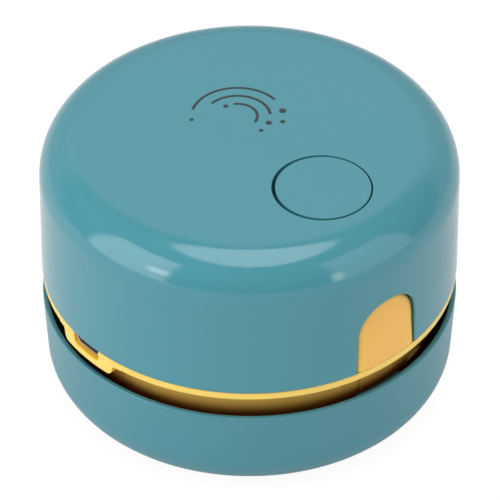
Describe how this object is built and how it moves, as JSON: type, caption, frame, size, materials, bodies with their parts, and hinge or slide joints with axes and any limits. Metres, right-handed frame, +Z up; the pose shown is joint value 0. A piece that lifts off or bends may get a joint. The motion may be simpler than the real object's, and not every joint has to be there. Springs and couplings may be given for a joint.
{
  "type": "desktop mini vacuum cleaner",
  "caption": "Round desktop vacuum cleaner: domed head with a press button and side release tabs, lifting off a dust cup base with a suction mouth underneath.",
  "frame": {"origin": "on the surface it stands on, under the middle of the body", "axes": "+Z up, +X towards the button and the right release tab, -Y towards the charging socket"},
  "size_m": [0.084, 0.084, 0.06],
  "materials": {
    "teal_base": "satin teal moulding, the same colour as the housing",
    "soft_pad": "dull soft rubber",
    "dark_plastic": "dull black moulding",
    "bristle": "short dense nylon bristles",
    "pale_plastic": "satin off-white moulding",
    "filter_mesh": "fine woven nylon",
    "gold_shell": "golden yellow, glossy on the band, darker below",
    "teal_gloss": "glossy teal moulding",
    "steel": "plain steel",
    "peach_tab": "smooth satin peach",
    "circuit_board": "green circuit board",
    "magnet": "sintered magnet",
    "brass": "tinned brass",
    "copper": "enamelled copper windings on steel poles",
    "battery_sleeve": "shrunk foil sleeve",
    "foam": "thin foam",
    "socket_metal": "bright pressed metal"
  },
  "bodies": {
    "base": {"base_cup": "teal_base", "glide_pads": "soft_pad", "brush_ring": "dark_plastic", "brush_bristles": "bristle"},
    "filter": {"filter_frame": "pale_plastic", "filter_mesh": "filter_mesh"},
    "head": {"inner_shell": "gold_shell", "upper_housing": "teal_gloss", "housing_screws": "steel", "seal_ring": "soft_pad", "tab_spring_right": "steel", "tab_spring_left": "steel", "button_spring": "steel", "switch_board": "circuit_board", "switch_body": "dark_plastic", "switch_screws": "steel", "motor_plate": "dark_plastic", "motor_can": "steel", "motor_magnets": "magnet", "motor_cap": "dark_plastic", "motor_terminals": "brass", "motor_screws": "steel", "battery_cell": "battery_sleeve", "battery_pad": "foam", "charge_board": "circuit_board", "board_chips": "dark_plastic", "board_screws": "steel", "usb_shell": "socket_metal", "usb_tongue": "dark_plastic"},
    "button": {"power_button": "teal_gloss", "switch_plunger": "pale_plastic"},
    "tab_right": {"release_tab_right": "peach_tab"},
    "tab_left": {"release_tab_left": "peach_tab"},
    "rotor": {"motor_shaft": "steel", "armature": "copper", "impeller": "pale_plastic"}
  },
  "joints": [
    {"name": "head_lift", "type": "slide", "parent": "base", "child": "head", "axis": [0, 0, 1], "range_m": [0, 0.05]},
    {"name": "filter_lift", "type": "slide", "parent": "base", "child": "filter", "axis": [0, 0, 1], "range_m": [0, 0.025]},
    {"name": "button_press", "type": "slide", "parent": "head", "child": "button", "axis": [0, 0, -1], "range_m": [0, 0.0012], "stiffness_N_per_m": 400, "springref_m": -0.001, "deforming": ["button_spring"]},
    {"name": "tab_right_press", "type": "slide", "parent": "head", "child": "tab_right", "axis": [-1, 0, 0], "range_m": [0, 0.002], "stiffness_N_per_m": 500, "springref_m": -0.001, "deforming": ["tab_spring_right"]},
    {"name": "tab_left_press", "type": "slide", "parent": "head", "child": "tab_left", "axis": [1, 0, 0], "range_m": [0, 0.002], "stiffness_N_per_m": 500, "springref_m": -0.001, "deforming": ["tab_spring_left"]},
    {"name": "fan_spin", "type": "hinge", "parent": "head", "child": "rotor", "pos_m": [0, 0, 0.0274], "axis": [0, 0, 1], "continuous": true}
  ],
  "couplings": [
    {"joint": "filter_lift", "follows": "head_lift", "ratio": 0.5}
  ]
}
